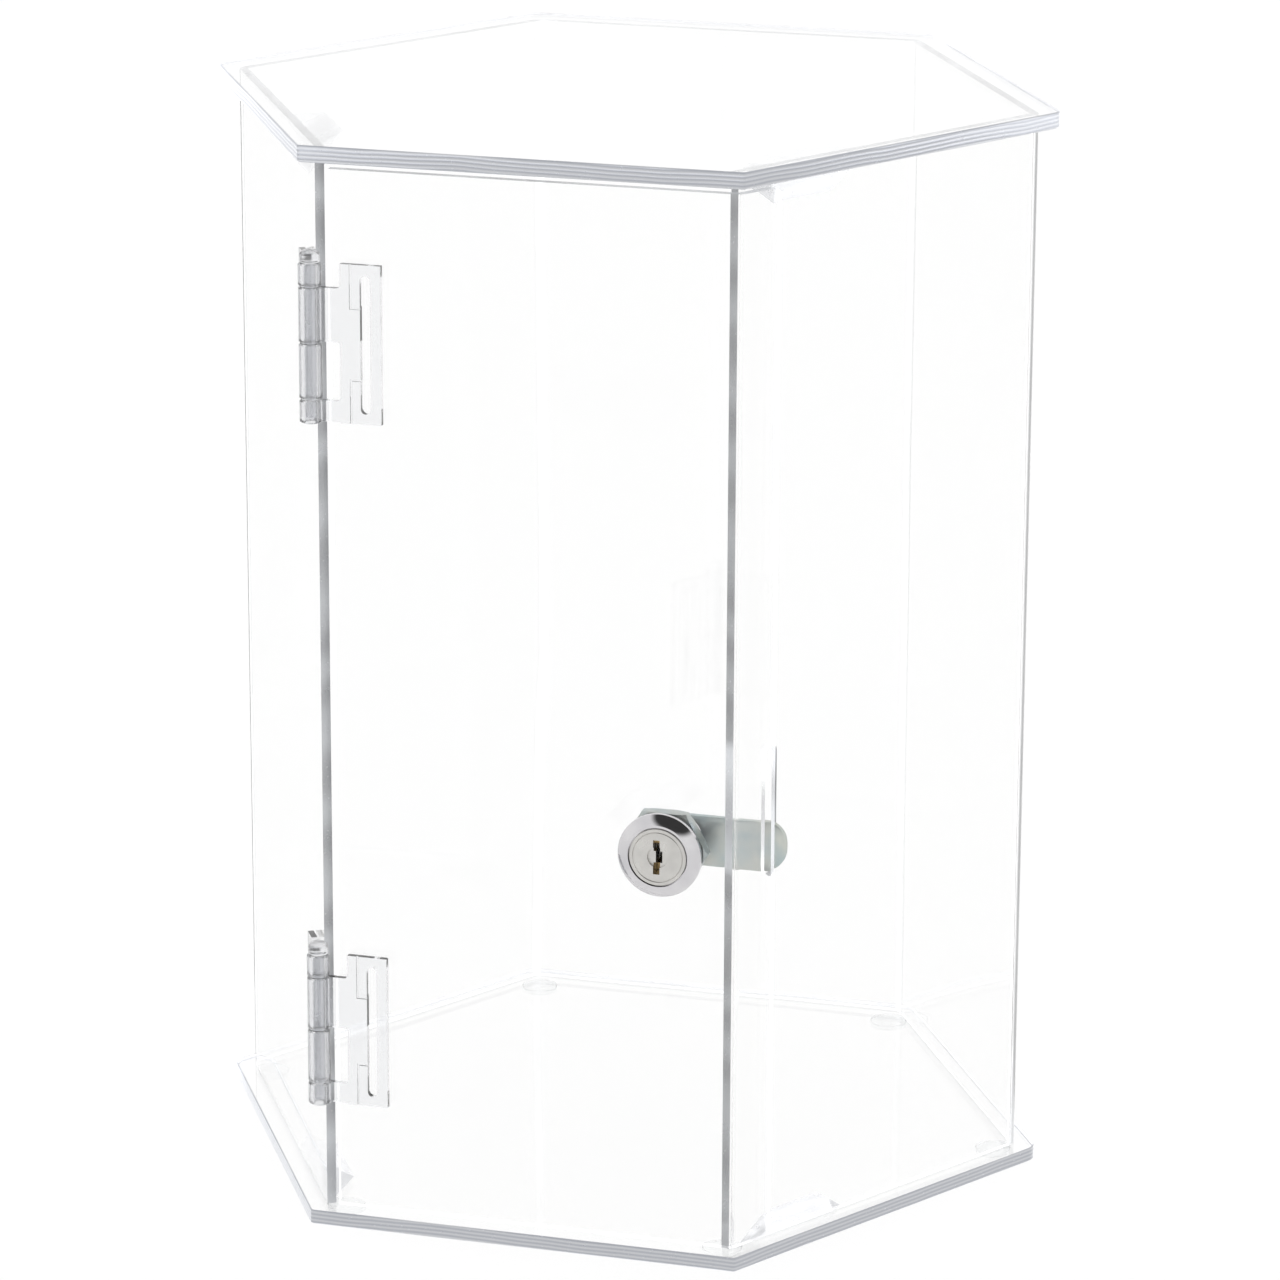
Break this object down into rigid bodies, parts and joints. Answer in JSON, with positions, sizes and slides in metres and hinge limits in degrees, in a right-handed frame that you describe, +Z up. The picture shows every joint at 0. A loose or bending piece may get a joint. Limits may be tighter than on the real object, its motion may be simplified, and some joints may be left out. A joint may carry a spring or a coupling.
{
  "type": "countertop display case",
  "caption": "Hexagonal clear acrylic countertop display case with a hinged door on its front face and a cam lock.",
  "frame": {"origin": "centre of the base plate's underside, which the feet hold off the counter", "axes": "+Z up, the door faces -Y, hinges at -X and lock at +X"},
  "size_m": [0.2382, 0.2113, 0.3019],
  "materials": {
    "clear_acrylic": "polished",
    "clear_hinge_plastic": "gloss",
    "clear_foot": "gloss",
    "bright_nickel": "polished",
    "satin_nickel": "satin",
    "zinc_plate": "satin",
    "brass": "satin"
  },
  "bodies": {
    "case": {"base_plate": "clear_acrylic", "top_plate": "clear_acrylic", "wall_shell": "clear_acrylic", "lower_fillet_bar_hinge_side": "clear_acrylic", "lower_fillet_bar_lock_side": "clear_acrylic", "upper_fillet_bar_hinge_side": "clear_acrylic", "upper_fillet_bar_lock_side": "clear_acrylic", "lower_hinge_wall_leaf": "clear_hinge_plastic", "upper_hinge_wall_leaf": "clear_hinge_plastic", "lower_hinge_pin": "clear_hinge_plastic", "upper_hinge_pin": "clear_hinge_plastic", "foot_left": "clear_foot", "foot_front_left": "clear_foot", "foot_front_right": "clear_foot", "foot_right": "clear_foot", "foot_back_right": "clear_foot", "foot_back_left": "clear_foot"},
    "door": {"door_panel": "clear_acrylic", "lock_housing": "bright_nickel", "lock_nut": "zinc_plate", "lower_hinge_door_leaf": "clear_hinge_plastic", "upper_hinge_door_leaf": "clear_hinge_plastic"},
    "lock_core": {"lock_plug": "satin_nickel", "stop_washer": "zinc_plate", "lock_cam": "zinc_plate", "cam_washer": "zinc_plate", "cam_screw": "zinc_plate", "lock_wafer_1": "brass", "lock_wafer_2": "brass", "lock_wafer_3": "brass", "lock_wafer_4": "brass", "lock_wafer_5": "brass"}
  },
  "joints": [
    {"name": "door_swing", "type": "hinge", "parent": "case", "child": "door", "pos_m": [-0.05688, -0.10432, 0.15], "axis": [0, 0, -1], "range_deg": [0, 230]},
    {"name": "lock_turn", "type": "hinge", "parent": "door", "child": "lock_core", "pos_m": [0.03833, -0.10172, 0.1155], "axis": [0, -1, 0], "range_deg": [0, 90]}
  ]
}
